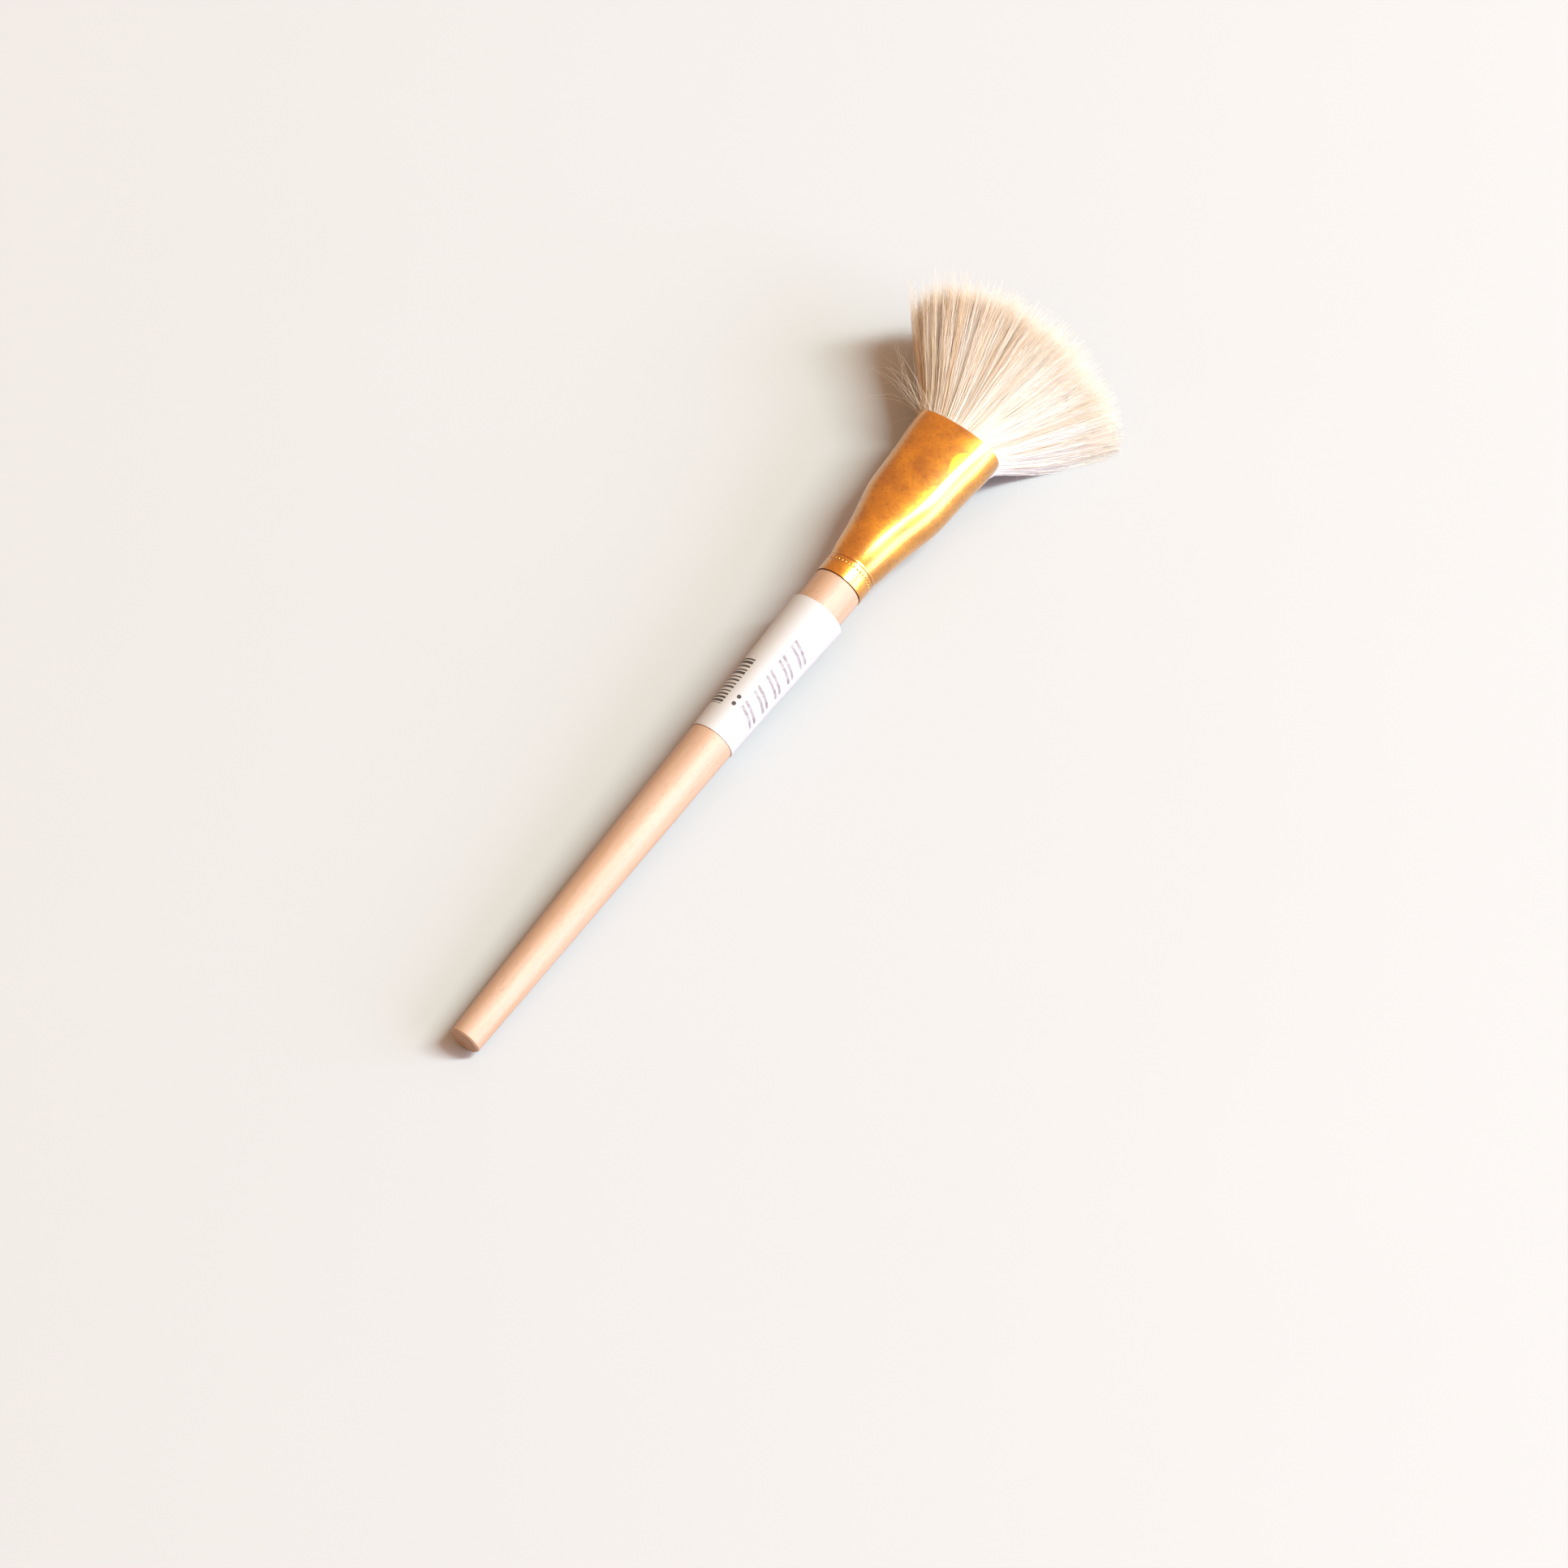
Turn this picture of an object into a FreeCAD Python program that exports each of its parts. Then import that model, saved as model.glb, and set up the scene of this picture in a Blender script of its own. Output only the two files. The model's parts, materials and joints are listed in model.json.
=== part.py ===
import FreeCAD, Part
import math
import os
import Sketcher

# A goat-hair mop brush of the kind used for fading and dusting, lying on a flat surface.
#
# Every piece is drawn in the brush's own frame: +Y runs along the brush's axis from the butt of
# the handle (station 0) to the tips of the hair, +X is across its flat side and +Z is up. One
# shared placement then tilts the brush until it rests on the edge of its butt and on its hair,
# and moves the origin under the middle of the whole brush. Lengths are millimetres.

Vector = FreeCAD.Vector
doc = FreeCAD.newDocument("fade_brush")

# ---------------------------------------------------------------------------
# Driving dimensions
# ---------------------------------------------------------------------------
# (alias, value, meaning). A "station" is a distance along the brush's axis.

DIMENSIONS = [
    # How the brush lies
    ("rest_tilt", 2.53, "angle between the brush's axis and the surface"),
    ("rest_height", 3.781, "height of the butt's centre above the surface"),
    ("middle_station", 114.1, "station of the middle of the whole brush"),

    # Handle
    ("butt_radius", 3.80, "radius of the handle at its butt"),
    ("butt_edge_ease", 0.35, "how far the butt's sharp edge is sanded back"),
    ("swell_station", 70.0, "station where the swell of the handle is measured"),
    ("swell_radius", 5.11, "radius of the handle at that station"),
    ("shoulder_station", 139.8, "station of the shoulder beside the ferrule"),
    ("shoulder_radius", 6.00, "radius of the handle at its shoulder"),
    ("tenon_radius", 5.50, "radius of the tenon inside the ferrule"),
    ("tenon_end", 151.6, "station of the tenon's end"),
    ("tenon_chamfer", 0.60, "chamfer on the tenon's end"),

    # Ferrule; its stations count from its rim at the handle
    ("ferrule_start", 140.1, "station of the ferrule's rim at the handle"),
    ("sheet_thickness", 0.35, "thickness of the ferrule's metal"),
    ("collar_radius", 6.15, "outer radius of the ferrule's round collar"),
    ("collar_length", 5.6, "length of the collar"),
    ("line_station", 5.0, "station of the fine line round the collar"),
    ("line_width", 0.30, "width of the fine line where it meets the collar's surface"),
    ("line_depth", 0.12, "depth of the fine line"),
    ("dimple_station", 3.75, "station of the ring of crimped dimples"),
    ("dimple_count", 40, "dimples in the ring"),
    ("dimple_radius", 0.36, "radius of the punch that presses a dimple"),
    ("dimple_depth", 0.18, "depth of a dimple"),
    ("corner_sweep", 150.0, "angle that each rounded side of a flattened section turns through"),
    ("squash", 0.01, "how much less high than wide a round section is drawn"),

    # Adhesives
    ("fit_gap", 0.03, "gap left between pieces that only touch"),
    ("glue_start", 0.7, "where the handle's glue starts, from the ferrule's rim"),
    ("glue_end", 11.2, "where the handle's glue ends"),
    ("plug_gap", 0.10, "gap between the resin plug and the sloping ferrule wall"),

    # Hair roots and their binding; stations from the ferrule's rim
    ("root_start", 14.1, "where the hair roots start"),
    ("root_socket", 14.0, "floor of the socket that the resin forms round the roots"),
    ("root_radius", 5.85, "radius of the bound roots"),
    ("root_end", 24.0, "where the bound roots end and the hair starts to spread"),
    ("hair_gap", 0.15, "gap between the hair and the ferrule"),
    ("thread_radius", 0.22, "radius of the binding thread"),
    ("thread_start", 20.8, "first turn of the binding thread"),
    ("thread_pitch", 0.40, "distance between turns of the thread"),
    ("thread_turns", 6, "turns of the thread"),

    # Price label
    ("label_start", 91.6, "station of the label's end nearer the butt"),
    ("label_length", 40.0, "length of the label along the handle"),
    ("paper_thickness", 0.12, "thickness of the label"),
    ("label_tight_radius", 5.58, "outer radius of the label where it clings to the handle"),
    ("label_tight_sweep", 311.0, "angle that the label covers there"),
    ("label_loose_radius", 6.95, "outer radius of the label where it has sprung open"),
    ("label_loose_sweep", 249.0, "angle that the label covers there"),
    ("label_loose_drop", 0.84, "how far the open end's centre sits under the axis"),
]

# Outer sections of the ferrule beyond its collar: (station from the ferrule's rim, half width,
# half height). The tube opens as a cone, is pressed flat, then widens slightly to its mouth.
FERRULE_SECTIONS = [
    (12.0, 7.25, 6.80),
    (20.0, 8.78, 6.97),
    (25.0, 9.86, 7.06),
    (29.0, 10.22, 7.06),
    (38.0, 10.75, 7.00),
    (47.6, 11.30, 6.94),
]
PLUG_SECTIONS = (0, 1)
HAIR_INNER_SECTIONS = (3, 4, 5)
MOUTH_SECTION = 5

# The loose hair beyond the mouth: (distance from the mouth, half width, half height, lift of
# the section's centre off the brush's axis).
FAN_SECTIONS = [
    (4.0, 14.3, 7.6, -0.3),
    (10.0, 19.6, 8.7, -1.0),
    (16.0, 24.8, 9.5, -1.8),
    (21.0, 28.3, 9.9, -2.6),
    (26.0, 29.6, 10.0, -3.15),
    (31.0, 27.5, 9.9, -3.53),
    (35.5, 22.8, 8.8, -3.5),
    (38.5, 16.2, 6.8, -3.4),
    (40.5, 8.0, 4.0, -3.2),
]

sheet = doc.addObject("Spreadsheet::Sheet", "dims")
sheet.Label = "dims"


def add_rows(rows):
    """Append (alias, value, meaning) rows to the sheet: meaning, value, alias on the value."""
    first_row = add_rows.next_row
    for row, (alias, value, meaning) in enumerate(rows, first_row):
        sheet.set(f"A{row}", meaning)
        sheet.set(f"B{row}", str(value))
        sheet.setAlias(f"B{row}", alias)
    add_rows.next_row = first_row + len(rows)


add_rows.next_row = 1
add_rows(DIMENSIONS)
for index, (station, half_width, half_height) in enumerate(FERRULE_SECTIONS):
    add_rows([
        (f"ferrule_station_{index}", station, f"ferrule section {index}, station"),
        (f"ferrule_width_{index}", half_width, f"ferrule section {index}, half width"),
        (f"ferrule_height_{index}", half_height, f"ferrule section {index}, half height"),
    ])
for index, (distance, half_width, half_height, lift) in enumerate(FAN_SECTIONS):
    add_rows([
        (f"fan_distance_{index}", distance, f"hair section {index}, distance from the mouth"),
        (f"fan_width_{index}", half_width, f"hair section {index}, half width"),
        (f"fan_height_{index}", half_height, f"hair section {index}, half height"),
        (f"fan_lift_{index}", lift, f"hair section {index}, lift off the axis"),
    ])
doc.recompute()


def number(expression):
    """The present value of an expression over the sheet's cells, in mm or degrees."""
    value = sheet.evalExpression(expression)
    return float(getattr(value, "Value", value))


def from_rim(alias):
    """Station along the brush of a cell that counts from the ferrule's rim."""
    return f"dims.ferrule_start + dims.{alias}"


# ---------------------------------------------------------------------------
# Bodies and sketches
# ---------------------------------------------------------------------------

bodies = []


def add_body(name):
    """A body named after its piece, laid down with the whole brush."""
    body = doc.addObject("PartDesign::Body", name)
    body.Label = name
    tilt = FreeCAD.Rotation(Vector(1, 0, 0), number("dims.rest_tilt"))
    body.Placement = FreeCAD.Placement(Vector(0, 0, 0), tilt)
    body.setExpression("Placement.Rotation.Angle", "dims.rest_tilt * 1 deg")
    body.setExpression("Placement.Base.y", "-dims.middle_station * 1 mm")
    body.setExpression("Placement.Base.z", "dims.rest_height * 1 mm")
    bodies.append(body)
    return body


def origin_feature(body, role):
    """One of the body's own origin planes or axes, such as XY_Plane."""
    return next(item for item in body.Origin.OriginFeatures if item.Role == role)


def add_sketch(body, name, plane):
    sketch = body.newObject("Sketcher::SketchObject", name)
    sketch.AttachmentSupport = [(origin_feature(body, plane), "")]
    sketch.MapMode = "FlatFace"
    return sketch


def add_section_sketch(body, name, station, lift=None):
    """A sketch across the brush's axis: its x is the brush's +X and its y is up."""
    sketch = add_sketch(body, name, "XZ_Plane")
    sketch.setExpression("AttachmentOffset.Base.z", f"-({station}) * 1 mm")
    if lift:
        sketch.setExpression("AttachmentOffset.Base.y", f"({lift}) * 1 mm")
    return sketch


def bind(sketch, constraint, name, expression):
    """Add a named dimension to a sketch and drive it from the sheet."""
    index = sketch.addConstraint(constraint)
    sketch.renameConstraint(index, name)
    sketch.setExpression(f"Constraints.{name}", expression)


def turned_profile(body, name, corners, curved_edge=None, curve_through=None):
    """Half a lengthwise section, closed and constrained, to be turned about the brush's axis.

    corners holds (radius, station) expressions in order round the outline, with None for a
    corner on the axis. The edge after corner number curved_edge may be an arc that passes
    through the (radius, station) curve_through.
    """
    sketch = add_sketch(body, name, "XY_Plane")
    points = [Vector(number(radius) if radius else 0.0, number(station), 0)
              for radius, station in corners]
    count = len(points)
    for edge in range(count):
        start, end = points[edge], points[(edge + 1) % count]
        if edge == curved_edge:
            middle = Vector(number(curve_through[0]), number(curve_through[1]), 0)
            sketch.addGeometry(Part.Arc(start, middle, end))
        else:
            sketch.addGeometry(Part.LineSegment(start, end))
    runs_backwards = curved_edge is not None and sketch.Geometry[curved_edge].StartPoint.distanceToPoint(
        points[curved_edge]) > 1e-6

    def end_of(edge, last):
        """Sketcher's number for an edge's first or last point; an arc may run backwards."""
        if edge == curved_edge and runs_backwards:
            return 1 if last else 2
        return 2 if last else 1

    for edge in range(count):
        following = (edge + 1) % count
        sketch.addConstraint(Sketcher.Constraint(
            "Coincident", edge, end_of(edge, True), following, end_of(following, False)))
    for corner, (radius, station) in enumerate(corners):
        point = (corner, end_of(corner, False))
        if radius:
            bind(sketch, Sketcher.Constraint("DistanceX", -1, 1, *point, points[corner].x),
                 f"radius_{corner}", radius)
        else:
            sketch.addConstraint(Sketcher.Constraint("PointOnObject", *point, -2))
        if abs(points[corner].y) < 1e-9:
            sketch.addConstraint(Sketcher.Constraint("PointOnObject", *point, -1))
        else:
            bind(sketch, Sketcher.Constraint("DistanceY", -1, 1, *point, points[corner].y),
                 f"station_{corner}", station)
    if curved_edge is not None:
        helper = sketch.addGeometry(Part.Point(middle), True)
        sketch.addConstraint(Sketcher.Constraint("PointOnObject", helper, 1, curved_edge))
        bind(sketch, Sketcher.Constraint("DistanceX", -1, 1, helper, 1, middle.x),
             "curve_radius", curve_through[0])
        bind(sketch, Sketcher.Constraint("DistanceY", -1, 1, helper, 1, middle.y),
             "curve_station", curve_through[1])
    return sketch


def turn(body, name, sketch, kind="PartDesign::Revolution"):
    """Turn a half section once round the brush's axis, adding or cutting."""
    feature = body.newObject(kind, name)
    feature.Profile = sketch
    feature.ReferenceAxis = (sketch, ["V_Axis"])
    feature.Angle = 360.0
    return feature


def flattened_section(body, name, station, half_width, half_height, lift=None):
    """A flattened tube's outline: two rounded sides joined by two gentler arcs.

    A loft through a row of these turns a round tube into a flat one.
    """
    sketch = add_section_sketch(body, name, station, lift)
    width, height = number(half_width), number(half_height)
    sweep = math.radians(number("dims.corner_sweep"))
    turn_in = sweep / 2
    side_radius = (height * math.cos(turn_in) - width * (1 - math.sin(turn_in))) / (
        math.sin(turn_in) + math.cos(turn_in) - 1)
    face_radius = (width - side_radius * (1 - math.cos(turn_in))) / math.cos(turn_in)
    side_centre = width - side_radius
    face_centre = height - face_radius
    quarter = math.pi / 2
    face_reach = quarter - turn_in
    arcs = [
        (side_centre, 0, side_radius, 0, turn_in),
        (0, face_centre, face_radius, quarter, face_reach),
        (-side_centre, 0, side_radius, 2 * quarter, turn_in),
        (0, -face_centre, face_radius, 3 * quarter, face_reach),
    ]
    for x, y, radius, middle, reach in arcs:
        circle = Part.Circle(Vector(x, y, 0), Vector(0, 0, 1), radius)
        sketch.addGeometry(Part.ArcOfCircle(circle, middle - reach, middle + reach))
    right, top, left, bottom = range(4)
    side_point = sketch.addGeometry(Part.Point(Vector(width, 0, 0)), True)
    face_point = sketch.addGeometry(Part.Point(Vector(0, height, 0)), True)
    sketch.addConstraint([
        Sketcher.Constraint("Tangent", right, 2, top, 1),
        Sketcher.Constraint("Tangent", top, 2, left, 1),
        Sketcher.Constraint("Tangent", left, 2, bottom, 1),
        Sketcher.Constraint("Tangent", bottom, 2, right, 1),
        Sketcher.Constraint("PointOnObject", right, 3, -1),
        Sketcher.Constraint("PointOnObject", left, 3, -1),
        Sketcher.Constraint("PointOnObject", top, 3, -2),
        Sketcher.Constraint("Equal", right, left),
        Sketcher.Constraint("Equal", top, bottom),
        Sketcher.Constraint("PointOnObject", side_point, 1, -1),
        Sketcher.Constraint("PointOnObject", side_point, 1, right),
        Sketcher.Constraint("PointOnObject", face_point, 1, -2),
        Sketcher.Constraint("PointOnObject", face_point, 1, top),
    ])
    bind(sketch, Sketcher.Constraint("Angle", right, sweep),
         "side_sweep", "dims.corner_sweep * 1 deg")
    bind(sketch, Sketcher.Constraint("DistanceX", -1, 1, side_point, 1, width),
         "half_width", half_width)
    bind(sketch, Sketcher.Constraint("DistanceY", -1, 1, face_point, 1, height),
         "half_height", half_height)
    return sketch


def round_section(body, name, station, radius):
    """A section as good as round. It is squashed by a hair's breadth, because the arcs of a true
    circle could slide along each other and its sketch would have no single answer."""
    return flattened_section(body, name, station, radius, f"{radius} - dims.squash")


def loft(body, name, sections, kind="PartDesign::AdditiveLoft", ruled=False):
    feature = body.newObject(kind, name)
    feature.Profile = sections[0]
    feature.Sections = sections[1:]
    feature.Ruled = ruled
    return feature


def ferrule_section(body, name, index, inset=None):
    """The ferrule's outline at one of its sections, drawn in by inset."""
    shrink = f" - ({inset})" if inset else ""
    return flattened_section(
        body, f"{name}_{index}", from_rim(f"ferrule_station_{index}"),
        f"dims.ferrule_width_{index}{shrink}", f"dims.ferrule_height_{index}{shrink}")


# ---------------------------------------------------------------------------
# Handle: one turned stick with a tenon for the ferrule
# ---------------------------------------------------------------------------

handle = add_body("handle")
handle_outline = turned_profile(
    handle, "handle_outline",
    [
        (None, "0"),
        ("dims.butt_radius - dims.butt_edge_ease", "0"),
        ("dims.butt_radius", "dims.butt_edge_ease"),
        ("dims.shoulder_radius", "dims.shoulder_station"),
        ("dims.tenon_radius", "dims.shoulder_station"),
        ("dims.tenon_radius", "dims.tenon_end - dims.tenon_chamfer"),
        ("dims.tenon_radius - dims.tenon_chamfer", "dims.tenon_end"),
        (None, "dims.tenon_end"),
    ],
    curved_edge=2,
    curve_through=("dims.swell_radius", "dims.swell_station"))
turn(handle, "turned_stick", handle_outline)

# ---------------------------------------------------------------------------
# Ferrule: a thin tube with a round collar, pressed flat towards its mouth
# ---------------------------------------------------------------------------

ferrule = add_body("ferrule")
bore_radius = "dims.collar_radius - dims.sheet_thickness"


def tube_filling(prefix, collar_radius, inset, kind):
    """The collar and the cone as solid lofts: once added full size, once cut away drawn in."""
    collar_ends = [
        round_section(ferrule, f"{prefix}_rim", "dims.ferrule_start", collar_radius),
        round_section(ferrule, f"{prefix}_collar_end", from_rim("collar_length"), collar_radius),
    ]
    loft(ferrule, f"{prefix}_collar", collar_ends, kind, ruled=True)
    cone_start = round_section(ferrule, f"{prefix}_cone_start", from_rim("collar_length"),
                               collar_radius)
    cone_sections = [ferrule_section(ferrule, f"{prefix}_section", index, inset)
                     for index in range(len(FERRULE_SECTIONS))]
    loft(ferrule, f"{prefix}_cone", [cone_start] + cone_sections, kind)


tube_filling("outer", "dims.collar_radius", None, "PartDesign::AdditiveLoft")
tube_filling("inner", bore_radius, "dims.sheet_thickness", "PartDesign::SubtractiveLoft")

line_start = from_rim("line_station")
line_outside = "dims.collar_radius + dims.line_depth"
line_outline = turned_profile(ferrule, "line_outline", [
    ("dims.collar_radius - dims.line_depth", line_start),
    (line_outside, f"{line_start} + dims.line_width"),
    (line_outside, f"{line_start} - dims.line_width"),
])
turn(ferrule, "fine_line", line_outline, "PartDesign::Groove")

dimple = ferrule.newObject("PartDesign::SubtractiveSphere", "dimple")
dimple.AttachmentSupport = [(origin_feature(ferrule, "XY_Plane"), "")]
dimple.MapMode = "FlatFace"
dimple.setExpression("Radius", "dims.dimple_radius * 1 mm")
dimple.setExpression("AttachmentOffset.Base.x",
                     "(dims.collar_radius + dims.dimple_radius - dims.dimple_depth) * 1 mm")
dimple.setExpression("AttachmentOffset.Base.y", f"({from_rim('dimple_station')}) * 1 mm")
dimple_ring = ferrule.newObject("PartDesign::PolarPattern", "dimple_ring")
dimple_ring.Originals = [dimple]
dimple_ring.Axis = (origin_feature(ferrule, "Y_Axis"), [""])
dimple_ring.Angle = 360.0
dimple_ring.setExpression("Occurrences", "dims.dimple_count")
ferrule.Tip = dimple_ring

# ---------------------------------------------------------------------------
# What holds the brush together inside the ferrule
# ---------------------------------------------------------------------------

# A sleeve of glue round the tenon. It fills the collar and stops where the cone begins to open.
handle_glue = add_body("handle_glue")
glue_inside = "dims.tenon_radius + dims.fit_gap"
glue_outside = f"{bore_radius} - dims.fit_gap"
glue_outline = turned_profile(handle_glue, "glue_outline", [
    (glue_inside, from_rim("glue_start")),
    (glue_outside, from_rim("glue_start")),
    (glue_outside, from_rim("glue_end")),
    (glue_inside, from_rim("glue_end")),
])
turn(handle_glue, "glue_sleeve", glue_outline)

# Resin poured on the hair roots: it fills the cone and holds the roots in a socket.
resin_plug = add_body("resin_plug")
loft(resin_plug, "plug",
     [ferrule_section(resin_plug, "plug_section", index,
                      "dims.sheet_thickness + dims.plug_gap") for index in PLUG_SECTIONS])
socket_radius = "dims.root_radius + dims.fit_gap"
plug_top = from_rim(f"ferrule_station_{PLUG_SECTIONS[-1]}")
socket_outline = turned_profile(resin_plug, "socket_outline", [
    (None, from_rim("root_socket")),
    (socket_radius, from_rim("root_socket")),
    (socket_radius, plug_top),
    (None, plug_top),
])
turn(resin_plug, "root_socket", socket_outline, "PartDesign::Groove")

# The thread that ties the roots. Its turns lie so tight together that each is drawn as a ring
# that bites slightly into the next.
binding_thread = add_body("binding_thread")
first_turn = binding_thread.newObject("PartDesign::AdditiveTorus", "first_turn")
first_turn.AttachmentSupport = [(origin_feature(binding_thread, "XZ_Plane"), "")]
first_turn.MapMode = "FlatFace"
first_turn.setExpression("AttachmentOffset.Base.z", f"-({from_rim('thread_start')}) * 1 mm")
first_turn.setExpression(
    "Radius1", "(dims.root_radius + dims.thread_radius + dims.fit_gap) * 1 mm")
first_turn.setExpression("Radius2", "dims.thread_radius * 1 mm")
all_turns = binding_thread.newObject("PartDesign::LinearPattern", "all_turns")
all_turns.Originals = [first_turn]
all_turns.Direction = (origin_feature(binding_thread, "Y_Axis"), [""])
all_turns.setExpression("Length", "dims.thread_pitch * (dims.thread_turns - 1) * 1 mm")
all_turns.setExpression("Occurrences", "dims.thread_turns")
binding_thread.Tip = all_turns

# ---------------------------------------------------------------------------
# Hair: thousands of loose hairs, drawn as one soft solid from roots to tips
# ---------------------------------------------------------------------------

hair_tuft = add_body("hair_tuft")
hair_inset = "dims.sheet_thickness + dims.hair_gap"
root_sections = [round_section(hair_tuft, f"{end}_section", from_rim(end), "dims.root_radius")
                 for end in ("root_start", "root_end")]
inner_sections = [ferrule_section(hair_tuft, "hair_section", index, hair_inset)
                  for index in HAIR_INNER_SECTIONS]
loft(hair_tuft, "hair_in_ferrule", root_sections + inner_sections, ruled=True)

mouth = from_rim(f"ferrule_station_{MOUTH_SECTION}")
mouth_section = ferrule_section(hair_tuft, "hair_mouth", MOUTH_SECTION, hair_inset)
fan_sections = [
    flattened_section(hair_tuft, f"fan_section_{index}", f"{mouth} + dims.fan_distance_{index}",
                      f"dims.fan_width_{index}", f"dims.fan_height_{index}",
                      f"dims.fan_lift_{index}")
    for index in range(len(FAN_SECTIONS))]
loft(hair_tuft, "fan", [mouth_section] + fan_sections, ruled=True)

# ---------------------------------------------------------------------------
# Price label: paper wrapped round the handle, sprung open at its end by the ferrule
# ---------------------------------------------------------------------------

price_label = add_body("price_label")


def paper_section(name, station, outer_radius, sweep, lift=None):
    """The label's cut end: a thin arc of paper, open underneath."""
    sketch = add_section_sketch(price_label, name, station, lift)
    reach = math.radians(number(sweep)) / 2
    top = math.pi / 2
    radii = (outer_radius, f"{outer_radius} - dims.paper_thickness")
    for radius in radii:
        circle = Part.Circle(Vector(0, 0, 0), Vector(0, 0, 1), number(radius))
        sketch.addGeometry(Part.ArcOfCircle(circle, top - reach, top + reach))
    outer, inner = range(2)
    for end in (1, 2):
        ends = [sketch.getPoint(arc, end) for arc in (outer, inner)]
        edge = sketch.addGeometry(Part.LineSegment(*ends))
        sketch.addConstraint(Sketcher.Constraint("Coincident", edge, 1, outer, end))
        sketch.addConstraint(Sketcher.Constraint("Coincident", edge, 2, inner, end))
    for arc, radius in enumerate(radii):
        sketch.addConstraint(Sketcher.Constraint("Coincident", arc, 3, -1, 1))
        sketch.addConstraint(Sketcher.Constraint("Horizontal", arc, 1, arc, 2))
        bind(sketch, Sketcher.Constraint("Radius", arc, number(radius)), f"radius_{arc}", radius)
        bind(sketch, Sketcher.Constraint("Angle", arc, 2 * reach), f"sweep_{arc}",
             f"{sweep} * 1 deg")
    return sketch


loft(price_label, "wrapped_paper", [
    paper_section("tight_end", "dims.label_start", "dims.label_tight_radius",
                  "dims.label_tight_sweep"),
    paper_section("loose_end", "dims.label_start + dims.label_length",
                  "dims.label_loose_radius", "dims.label_loose_sweep",
                  "-dims.label_loose_drop"),
], ruled=True)

# ---------------------------------------------------------------------------
# Checks and export
# ---------------------------------------------------------------------------

doc.recompute()

failed = [item.Name for item in doc.Objects if {"Invalid", "Error"} & set(item.State)]
if failed:
    raise RuntimeError(f"these objects did not compute: {', '.join(failed)}")
for body in bodies:
    shape = body.Shape
    if shape.isNull() or not shape.isValid() or len(shape.Solids) != 1:
        raise RuntimeError(f"{body.Label} is not one valid solid")

os.makedirs("parts", exist_ok=True)
for body in bodies:
    body.Shape.exportStep(f"parts/{body.Label}.step")
    box = body.Shape.BoundBox
    print(f"{body.Label:16s} volume {body.Shape.Volume:9.1f} mm3, "
          f"x {box.XMin:7.2f} to {box.XMax:7.2f}, y {box.YMin:8.2f} to {box.YMax:8.2f}, "
          f"z {box.ZMin:6.2f} to {box.ZMax:6.2f}")
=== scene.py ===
import json
import math

import bpy
import numpy as np
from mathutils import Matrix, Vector


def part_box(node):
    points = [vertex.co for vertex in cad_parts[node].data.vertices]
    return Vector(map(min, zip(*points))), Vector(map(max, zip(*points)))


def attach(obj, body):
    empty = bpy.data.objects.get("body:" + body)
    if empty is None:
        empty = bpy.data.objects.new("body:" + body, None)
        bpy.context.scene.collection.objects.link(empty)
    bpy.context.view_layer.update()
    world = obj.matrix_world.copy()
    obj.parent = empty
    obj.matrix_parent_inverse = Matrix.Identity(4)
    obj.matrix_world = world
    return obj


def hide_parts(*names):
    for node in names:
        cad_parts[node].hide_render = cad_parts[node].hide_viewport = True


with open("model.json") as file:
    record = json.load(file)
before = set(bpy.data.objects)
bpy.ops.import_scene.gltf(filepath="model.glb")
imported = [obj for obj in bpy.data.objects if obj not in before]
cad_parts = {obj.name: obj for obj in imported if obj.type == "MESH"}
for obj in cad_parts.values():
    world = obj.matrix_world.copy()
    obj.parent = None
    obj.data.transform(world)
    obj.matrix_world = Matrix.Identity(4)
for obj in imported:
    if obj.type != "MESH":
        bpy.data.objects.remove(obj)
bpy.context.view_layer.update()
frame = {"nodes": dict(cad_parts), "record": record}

MM = 0.001

# ---------------------------------------------------------------------------
# The brush's own directions, read from the frame
# ---------------------------------------------------------------------------
# A place on the brush is (across, station, up): station counts along the brush's axis from the
# middle of the butt, and the brush lies slightly tilted, its hair on the surface.

butt = next(mount for mount in frame["record"]["mounts"] if mount["name"] == "butt")
START = Vector(butt["pos_m"])
ACROSS = Vector((1, 0, 0))
ALONG = -Vector(butt["axis"]).normalized()
UP = ACROSS.cross(ALONG)


def station_of(y):
    """Station of the point of the brush's axis that has this y."""
    return (y - START.y) / ALONG.y


MOUTH = station_of(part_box("ferrule")[1].y)
TIPS = station_of(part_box("hair_tuft")[1].y)
FAN_LENGTH = TIPS - MOUTH


def to_world(places):
    """World positions of an array of (across, station, up) places."""
    axes = np.array([ACROSS, ALONG, UP])
    return np.array(START) + places @ axes


# ---------------------------------------------------------------------------
# Small helpers for node materials
# ---------------------------------------------------------------------------
# Colours are linear (red, green, blue), and every length is in metres.

SHADER_SOCKETS = {
    "metallic": "Metallic",
    "roughness": "Roughness",
    "specular": "Specular IOR Level",
    "coat": "Coat Weight",
    "coat_roughness": "Coat Roughness",
    "coat_ior": "Coat IOR",
}


def colour(value):
    """A plain (r, g, b) as the four numbers a colour socket takes; a socket is left alone."""
    return value if isinstance(value, bpy.types.NodeSocket) else (*value, 1.0)


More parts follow.
